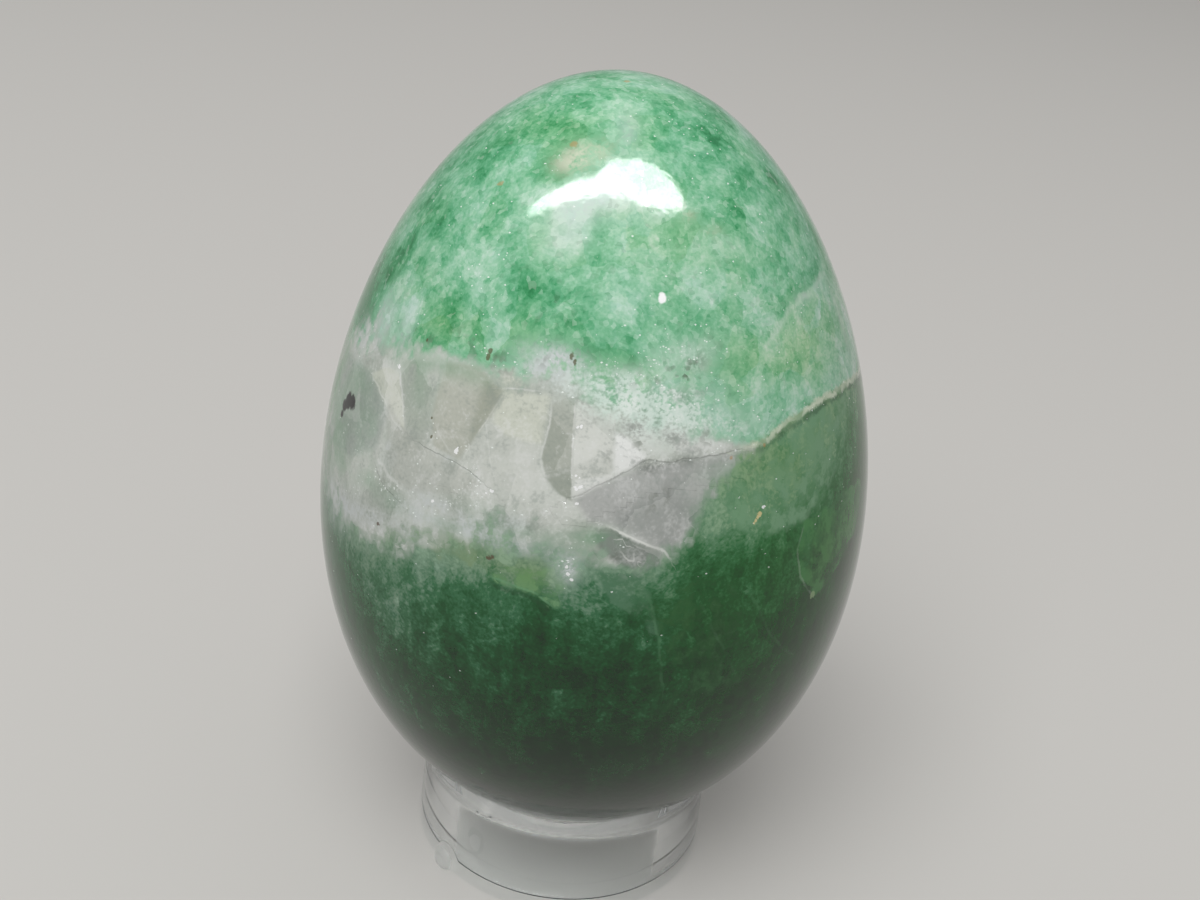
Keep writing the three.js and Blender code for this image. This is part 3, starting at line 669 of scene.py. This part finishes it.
def stone_pattern(points):
    """The pattern of the stone as one number for each vertex and each feature."""
    chance = np.random.default_rng(SEED)
    angle = np.degrees(np.arctan2(points[:, 0], -points[:, 1]))
    height = points[:, 2] + EGG_LENGTH / 2
    radius = np.maximum(np.hypot(points[:, 0], points[:, 1]), TIP_RADIUS)
    pattern = {"band": band_depth(angle, height)}

    for name, patches in PATCHES.items():
        field = np.zeros(len(points))
        for place_angle, place_height, half_width, half_height, strength in patches:
            across = np.radians((angle - place_angle + 180) % 360 - 180) * radius / half_width
            upward = (height - place_height) / half_height
            field += strength * np.exp(-across ** 2 - upward ** 2)
        pattern[name] = field

    # The deep stone starts under the middle of the band, and under the seam where there is no band. Below
    # that it darkens downwards, partly the stone's own deep green and partly painted shade of the light
    # from above.
    deep_top, darkening = read_off(angle, DEEP_TOP)
    deep = read_off((deep_top - height) * darkening, DEPTHS)[0]
    band_middle = (read_off(angle, BAND_TOP)[0] + read_off(angle, BAND_FOOT)[0]) / 2
    split = np.where(angle > SEAM_START, read_off(angle, SEAM)[0], band_middle)
    pattern["deep"] = deep * smooth_step(split - height, -SPLIT_SOFTNESS, SPLIT_SOFTNESS)
    pattern["warm"] = smooth_step(angle, *WARM_FROM) * (1 - smooth_step(angle, *WARM_TO))

    for plate in BAND_PLATES + GREEN_PLATES + DEEP_PLATES:
        pattern[plate[0]] = plate_reach(points, angle, height, plate[-1])
    for name in dict.fromkeys(line[0] for line in LINES):
        pattern[name], pattern[name + "_strength"] = line_offsets(points, name, chance)
    return pattern


def stone_textures(tree):
    """The textures that the stone's minerals share."""
    place = add(tree, "ShaderNodeTexCoord").outputs["Object"]
    bend = add(tree, "ShaderNodeTexNoise", {"Vector": place, "Scale": 1 / (BEND_SIZE * MM), "Detail": 1})
    bent = add(tree, "ShaderNodeVectorMath", {
        0: bend.outputs["Color"], 1: [BEND_REACH * MM] * 3, 2: place}, operation="MULTIPLY_ADD").outputs[0]
    shake = add(tree, "ShaderNodeTexNoise", {"Vector": place, "Scale": 1 / (SHAKE_SIZE * MM), "Detail": 1})
    shaken = add(tree, "ShaderNodeVectorMath", {
        0: shake.outputs["Color"], 1: [SHAKE_REACH * MM] * 3, 2: bent}, operation="MULTIPLY_ADD").outputs[0]
    made = {"place": place, "wave": shake.outputs["Fac"]}
    middle = {}
    for name, size in CRYSTALS.items():
        cells = add(tree, "ShaderNodeTexVoronoi", {"Vector": shaken, "Scale": 1 / (size * MM)})
        parts = add(tree, "ShaderNodeSeparateColor", {"Color": cells.outputs["Color"]})
        made[name] = parts.outputs[0]
        made[name + "_hue"] = parts.outputs[1]
        middle[name] = cells.outputs["Position"]
    for name, (squeeze, size, detail, crystal, evenness) in CLOUDS.items():
        toned = add(tree, "ShaderNodeMix", {0: evenness, 4: bent, 5: middle[crystal]},
                    data_type="VECTOR").outputs[1]
        squeezed = add(tree, "ShaderNodeMapping", {"Vector": toned, "Scale": (1, 1, squeeze)}).outputs[0]
        noise = add(tree, "ShaderNodeTexNoise", {
            "Vector": squeezed, "Scale": 1 / (size * MM), "Detail": detail})
        made[name] = noise.outputs["Fac"]
    return made


def clouded(tree, level, clouds):
    """A level with each cloud added by its weight, about the middle of that cloud."""
    middle = sum(weight for _, weight in clouds) / 2
    level = add(tree, "ShaderNodeMath", {0: level, 1: middle}, operation="SUBTRACT").outputs[0]
    for cloud, weight in clouds:
        level = add(tree, "ShaderNodeMath", {0: cloud, 1: weight, 2: level},
                    operation="MULTIPLY_ADD").outputs[0]
    return level


def stained(tree, colour, stain, level, low, high, most=1.0, where=1.0, blend="MIX"):
    """Lays one mineral's colour over another's, as far as a level has come from low to high."""
    come = add(tree, "ShaderNodeMapRange", {"Value": level, 1: low, 2: high, 3: 0.0, 4: most},
               interpolation_type="SMOOTHSTEP").outputs[0]
    cover = add(tree, "ShaderNodeMath", {0: come, 1: where}, operation="MULTIPLY").outputs[0]
    return add(tree, "ShaderNodeMix", {0: cover, 6: colour, 7: linear(stain)}, data_type="RGBA",
               blend_type=blend, clamp_factor=True).outputs[2]


def polished_quartz(names):
    """Quartz rock coloured by fine green mica, ground to shape and buffed to a glassy polish.
    The mica clouds it in fine grains, and broken crystal healed by white quartz shows as plates."""
    look = new_material("polished_green_quartz")
    tree = look.node_tree
    tex = stone_textures(tree)
    mark = {name: add(tree, "ShaderNodeAttribute", attribute_name=name).outputs["Fac"] for name in names}

    # How green the stone is above the band, and below it how deep, with painted shade towards the bottom
    half_green = add(tree, "ShaderNodeMath", {0: mark["green"], 1: 0.5}, operation="ADD").outputs[0]
    greenness = clouded(tree, half_green, [
        (tex["haze"], 0.92), (tex["cloud"], 0.65), (tex["grain"], 0.55), (tex["sugar"], 0.38),
        (tex["crystal"], 0.12), (tex["facet"], 0.12), (tex["crumb"], 0.1)])
    for name, change, softness, _ in GREEN_PLATES:
        edge = clouded(tree, mark[name], [(tex["grain"], 0.8)])
        changed = add(tree, "ShaderNodeMapRange", {"Value": edge, 1: -softness, 2: softness, 4: change},
                      interpolation_type="SMOOTHSTEP").outputs[0]
        greenness = add(tree, "ShaderNodeMath", {0: greenness, 1: changed}, operation="ADD").outputs[0]
    unevenness = clouded(tree, 0.0, [
        (tex["haze"], 0.4), (tex["cloud"], 0.35), (tex["grain"], 0.4), (tex["fibre"], 0.6),
        (tex["sugar"], 0.5), (tex["facet"], 0.12), (tex["crystal"], 0.12), (tex["crumb"], 0.12)])
    swing = add(tree, "ShaderNodeMath", {0: mark["deep"], 1: 0.3}, operation="ADD").outputs[0]
    depth = add(tree, "ShaderNodeMath", {0: unevenness, 1: swing, 2: mark["deep"]},
                operation="MULTIPLY_ADD").outputs[0]

    # Green stone
    shades = {}
    for name, level in (("green", greenness), ("cool", depth), ("warm", depth)):
        shade = add(tree, "ShaderNodeValToRGB", {"Fac": level})
        stops = shade.color_ramp.elements
        first, *between, last = SHADES[name]
        for stop, (position, tone) in ((stops[0], first), (stops[-1], last)):
            stop.position = position
            stop.color = linear(tone)
        for position, tone in between:
            stops.new(position).color = linear(tone)
        shades[name] = shade.outputs[0]
    shades["green"] = stained(tree, shades["green"], "d6ecdd", tex["crumb_hue"], 0.82, 1.0, 0.22)
    shades["green"] = stained(tree, shades["green"], "2c7a4c", tex["crumb_hue"], 0.14, 0.0, 0.2)
    # The deep stone's colour, darkened towards the bottom partly by painted shade
    deep = add(tree, "ShaderNodeMix", {0: mark["warm"], 6: shades["cool"], 7: shades["warm"]},
               data_type="RGBA").outputs[2]
    below = add(tree, "ShaderNodeMapRange", {"Value": mark["deep"], 1: 0.0, 2: 0.05}).outputs[0]
    colour = add(tree, "ShaderNodeMix", {0: below, 6: shades["green"], 7: deep},
                 data_type="RGBA").outputs[2]
    for name, plate, opacity, softness, _ in DEEP_PLATES:
        edge = clouded(tree, mark[name], [(tex["grain"], 0.8), (tex["cloud"], 0.6)])
        mottled = clouded(tree, opacity, [
            (tex["haze"], 2.0), (tex["cloud"], 3.0), (tex["grain"], 2.4), (tex["sugar"], 1.2)])
        colour = stained(tree, colour, plate, edge, -softness, softness, where=mottled)
    straw = clouded(tree, mark["olive"], [(tex["facet_hue"], 0.25), (tex["haze"], 0.5)])
    colour = stained(tree, colour, "fbf4cc", straw, -0.05, 1.0, blend="MULTIPLY")
    chill = clouded(tree, 0.05, [(tex["crystal_hue"], 0.25), (tex["haze"], -0.5)])
    colour = stained(tree, colour, "dcecff", chill, -0.05, 1.0, blend="MULTIPLY")

    # White quartz
    mist = clouded(tree, tex["cloud"], [(tex["grain"], 0.8), (tex["sugar"], 0.8), (tex["haze"], 0.5)])
    quartz = stained(tree, linear("b2b8ae"), "d0d4cc", tex["haze"], 0.35, 0.65)
    quartz = stained(tree, quartz, "e6e7e4", mist, 0.5, 0.95, 0.5)
    for name, plate, opacity, softness, _ in BAND_PLATES:
        edge = clouded(tree, mark[name], [(tex["grain"], 0.25)])
        quartz = stained(tree, quartz, plate, edge, -softness, softness, opacity)
    quartz = stained(tree, quartz, "e2e4de", tex["facet"], 0.5, 1.0, 0.25)
    quartz = stained(tree, quartz, "8f998f", tex["facet"], 0.5, 0.0, 0.16)
    quartz = stained(tree, quartz, "e6e7e4", mist, 0.5, 0.95, 0.34)
    quartz = stained(tree, quartz, "87928a", mist, 0.5, 0.1, 0.38)
    quartz = stained(tree, quartz, "74a07c", tex["cloud"], 0.2, 0.6, 1.3, where=mark["tint"])
    border = clouded(tree, mark["band"], [(tex["cloud"], 2.2), (tex["grain"], 2.2), (tex["facet"], 0.3)])
    inside = add(tree, "ShaderNodeMapRange", {"Value": border, 1: -0.8, 2: 0.8},
                 interpolation_type="SMOOTHSTEP").outputs[0]
    colour = add(tree, "ShaderNodeMix", {0: inside, 6: colour, 7: quartz}, data_type="RGBA").outputs[2]

    # Veils and frost, with wisps in the frost, and then smudges that are partly painted shadow under the
    # crack, iron stains and dark grains
    colour = stained(tree, colour, "cbd1d0", mist, 0.1, 0.8, 1.5, where=mark["veil"])
    colour = stained(tree, colour, "d2e4d8", mist, 0.1, 0.85, 1.25, where=mark["frost"])
    wisps = clouded(tree, tex["fibre"], [(tex["sugar"], 0.5)])
    colour = stained(tree, colour, "e6efe8", wisps, 0.45, 0.75, 0.6, where=mark["frost"])
    colour = stained(tree, colour, "7ea68c", wisps, 0.5, 0.2, 0.5, where=mark["frost"])
    # Grey smudges, partly painted shadow under the crack
    colour = stained(tree, colour, "7d827c", mist, 0.7, 0.3, where=mark["smudge"])
    colour = stained(tree, colour, "dadac6", mist, 0.2, 0.8, 1.5, where=mark["cream"])
    colour = stained(tree, colour, "56604f", tex["grain"], 0.55, 0.66, where=mark["specks"])

    # Cracks and veins, and the painted shadow of the shade set, fainter in places
    worn = add(tree, "ShaderNodeMapRange", {
        "Value": tex["cloud"], 1: 0.36, 2: 0.56, 3: 0.2, 4: 1.0}).outputs[0]
    aside = {}
    for name, line in LINE_COLOURS.items():
        offset = clouded(tree, mark[name], [(tex["grain"], 3.0), (tex["sugar"], 1.5)])
        aside[name] = add(tree, "ShaderNodeMath", {0: offset}, operation="ABSOLUTE").outputs[0]
        strength = add(tree, "ShaderNodeMath", {0: mark[name + "_strength"], 1: worn},
                       operation="MULTIPLY").outputs[0]
        colour = stained(tree, colour, line, aside[name], 1.7, 0.3, where=strength)

    # Inclusions, and painted glints in white and pale gold
    for spot, strength, raggedness, tallness, places in SPOTS:
        nearest = None
        squashed = add(tree, "ShaderNodeMapping", {
            "Vector": tex["place"], "Scale": (1, 1, 1 / tallness)}).outputs[0]
        for angle, height, radius in places:
            centre = egg_place @ Vector(on_egg([(angle, height)])[0])
            centre.z /= tallness
            away = add(tree, "ShaderNodeVectorMath", {0: squashed, 1: centre},
                       operation="DISTANCE").outputs["Value"]
            share = add(tree, "ShaderNodeMath", {0: away, 1: radius * MM}, operation="DIVIDE").outputs[0]
            if nearest is not None:
                share = add(tree, "ShaderNodeMath", {0: nearest, 1: share}, operation="MINIMUM").outputs[0]
            nearest = share
        ragged = clouded(tree, nearest, [(tex["grain"], raggedness), (tex["sugar"], raggedness)])
        colour = stained(tree, colour, spot, ragged, 1.25, 0.75, strength)

    # Painted glints: white dots where mica flakes would flash. They crowd where painted glints are marked,
    # and a few lie elsewhere. Few are large.
    flat = add(tree, "ShaderNodeMapping", {
        "Vector": tex["place"], "Scale": (1, 1, FLAKE_FLATNESS)}).outputs[0]
    flake_glints = add(tree, "ShaderNodeTexVoronoi", {"Vector": flat, "Scale": 1 / (FLAKE * MM)},
                 distance="MANHATTAN")
    chance = add(tree, "ShaderNodeSeparateColor", {"Color": flake_glints.outputs["Color"]})
    shallow = add(tree, "ShaderNodeMapRange", {"Value": mark["deep"], 1: 0.7, 2: 0.2, 4: 0.012}).outputs[0]
    crowd = add(tree, "ShaderNodeMath", {0: mark["painted_glint"], 1: 0.2, 2: shallow},
                operation="MULTIPLY_ADD").outputs[0]
    bunched = add(tree, "ShaderNodeMapRange", {"Value": tex["cloud"], 1: 0.42, 2: 0.6, 4: 1.6}).outputs[0]
    crowd = add(tree, "ShaderNodeMath", {0: crowd, 1: bunched}, operation="MULTIPLY").outputs[0]
    chosen = add(tree, "ShaderNodeMath", {0: chance.outputs[0], 1: crowd}, operation="LESS_THAN").outputs[0]
    squared = add(tree, "ShaderNodeMath", {0: chance.outputs[1], 1: 2.0}, operation="POWER").outputs[0]
    size = add(tree, "ShaderNodeMath", {0: squared, 1: 0.6, 2: 0.18}, operation="MULTIPLY_ADD").outputs[0]
    away = add(tree, "ShaderNodeMath", {0: flake_glints.outputs["Distance"], 1: size},
               operation="DIVIDE").outputs[0]
    colour = stained(tree, colour, "f4faf5", away, 1.2, 0.7, 0.8, where=chosen)

    # The buffed surface is a little wavy, and dips at the open cracks.
    dip = add(tree, "ShaderNodeMapRange", {"Value": aside["crack"], 1: 1.2, 2: 0.0}).outputs[0]
    height = clouded(tree, 0.5, [(tex["wave"], 1.0), (dip, -2.0)])
    relief = add(tree, "ShaderNodeBump", {
        "Height": height, "Distance": RELIEF * MM, "Strength": 1.0}).outputs[0]
    shader = add(tree, "ShaderNodeBsdfPrincipled", {
        "Base Color": colour, "Roughness": 0.09, "IOR": 1.5, "Normal": relief})
    add(tree, "ShaderNodeOutputMaterial", {"Surface": shader.outputs[0]})
    return look


# Where the egg stands: its own centre, and its lean about it
cad_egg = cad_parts["stone_egg"].data.vertices
egg_centre = Vector(np.mean([v.co for v in cad_egg], axis=0))
egg_lean = Matrix.Rotation(-math.radians(EGG_LEAN_DEGREES), 4, "Y")
egg_place = Matrix.Translation(egg_centre) @ egg_lean @ Matrix.Scale(MM, 4)


def stone_egg():
    bm = bmesh.new()
    bmesh.ops.create_cube(bm, size=2)
    bmesh.ops.subdivide_edges(bm, edges=bm.edges, cuts=EGG_CELLS - 1, use_grid_fill=True)
    cube = np.array([v.co for v in bm.verts])
    ball = np.tan(cube * math.pi / 4)
    ball /= np.linalg.norm(ball, axis=1)[:, None]
    egg = egg_from_ball(ball)
    for vert, place in zip(bm.verts, egg):
        vert.co = place
    pattern = stone_pattern(egg)
    bmesh.ops.transform(bm, matrix=egg_place, verts=bm.verts)
    piece = finished(bm, "polished_egg", polished_quartz(list(pattern)))
    for name, values in pattern.items():
        attribute = piece.data.attributes.new(name, "FLOAT", "POINT")
        attribute.data.foreach_set("value", values.astype(np.float32))
    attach(piece, "egg")
    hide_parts("stone_egg")


def clear_acrylic():
    """Acrylic moulded in a polished tool, and torn a little rough where its gate was cut off.
    Lamps shine through it onto the floor."""
    look = new_material("clear_acrylic")
    tree = look.node_tree
    angle = math.radians(GATE_ANGLE_DEGREES)
    reach = RING_DIAMETER / 2 + GATE_PROUD + FROST_STANDOFF
    centre = Vector((reach * math.cos(angle), reach * math.sin(angle), GATE_HEIGHT)) * MM
    place = add(tree, "ShaderNodeTexCoord").outputs["Object"]
    away = add(tree, "ShaderNodeVectorMath", {0: place, 1: centre}, operation="DISTANCE").outputs["Value"]
    roughness = add(tree, "ShaderNodeMapRange", {
        "Value": away, 1: FROST_INNER * MM, 2: FROST_OUTER * MM, 3: FROSTED_ROUGHNESS,
        4: MOULDED_ROUGHNESS}).outputs[0]
    solid = add(tree, "ShaderNodeBsdfPrincipled", {
        "Base Color": linear("f4f6f6"), "Roughness": roughness, "IOR": 1.49, "Transmission Weight": 1.0})
    passed = add(tree, "ShaderNodeBsdfTransparent", {"Color": linear("e4e8e8")})
    from_lamp = add(tree, "ShaderNodeLightPath").outputs["Is Shadow Ray"]
    shader = add(tree, "ShaderNodeMixShader", {0: from_lamp, 1: solid.outputs[0], 2: passed.outputs[0]})
    add(tree, "ShaderNodeOutputMaterial", {"Surface": shader.outputs[0]})
    return look


def rounded(points, corner, before, after, size, steps=6):
    """Adds the arc of a rounded corner between its two neighbours to a list of points."""
    corner = Vector(corner)
    one = (Vector(before) - corner).normalized()
    two = (Vector(after) - corner).normalized()
    half = one.angle(two) / 2
    centre = corner + (one + two).normalized() * size / math.sin(half)
    start = corner + one * size / math.tan(half) - centre
    end = corner + two * size / math.tan(half) - centre
    sweep = start.angle_signed(end)
    for step in range(steps + 1):
        turned = Matrix.Rotation(-sweep * step / steps, 2) @ start
        points.append(centre + turned)


def ring_stand():
    """The ring's section is spun round its axis, and the gate's stub is drawn out of the wall."""
    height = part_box("ring_stand")[1].z / MM
    rim = RING_DIAMETER / 2
    bore = rim - RING_WALL
    corners = [
        (bore, 0, FOOT_ROUND), (rim + RING_DRAFT, 0, FOOT_ROUND), (rim, height, RIM_ROUND),
        (bore + SEAT_WIDTH, height, SEAT_ROUND), (bore, height - SEAT_DROP, SEAT_ROUND)]
    outline = []
    for index, (radius, level, size) in enumerate(corners):
        before = corners[index - 1][:2]
        after = corners[(index + 1) % len(corners)][:2]
        rounded(outline, (radius, level), before, after, size)
    bm = bmesh.new()
    verts = [bm.verts.new((p.x, 0, p.y)) for p in outline]
    edges = [bm.edges.new((a, b)) for a, b in zip(verts, verts[1:] + verts[:1])]
    long_edges = [e for e in edges if e.calc_length() > LONG_EDGE]
    bmesh.ops.subdivide_edges(bm, edges=long_edges, cuts=EDGE_CUTS)
    bmesh.ops.spin(bm, geom=bm.verts[:] + bm.edges[:], cent=(0, 0, 0), axis=(0, 0, 1), dvec=(0, 0, 0),
                   angle=2 * math.pi, steps=RING_STEPS, use_merge=True, use_duplicate=False)
    for vert in bm.verts:
        radius = math.hypot(vert.co.x, vert.co.y)
        if radius < rim - RIM_ROUND:
            continue
        turn = math.atan2(vert.co.y, vert.co.x) - math.radians(GATE_ANGLE_DEGREES)
        across = (turn + math.pi) % (2 * math.pi) - math.pi
        off = math.hypot(across * radius, vert.co.z - GATE_HEIGHT) / GATE_RADIUS
        fall = min(max((off - GATE_FLAT) / GATE_FILLET, 0), 1)
        swell = GATE_PROUD * (1 - fall ** 2) ** 2
        vert.co += Vector((vert.co.x, vert.co.y, 0)).normalized() * swell
    bmesh.ops.transform(bm, matrix=Matrix.Scale(MM, 4), verts=bm.verts)
    piece = finished(bm, "clear_ring", clear_acrylic())
    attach(piece, "stand")
    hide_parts("ring_stand")


make_camera()
make_studio()
stone_egg()
ring_stand()

bpy.context.scene.view_settings.view_transform = "Standard"
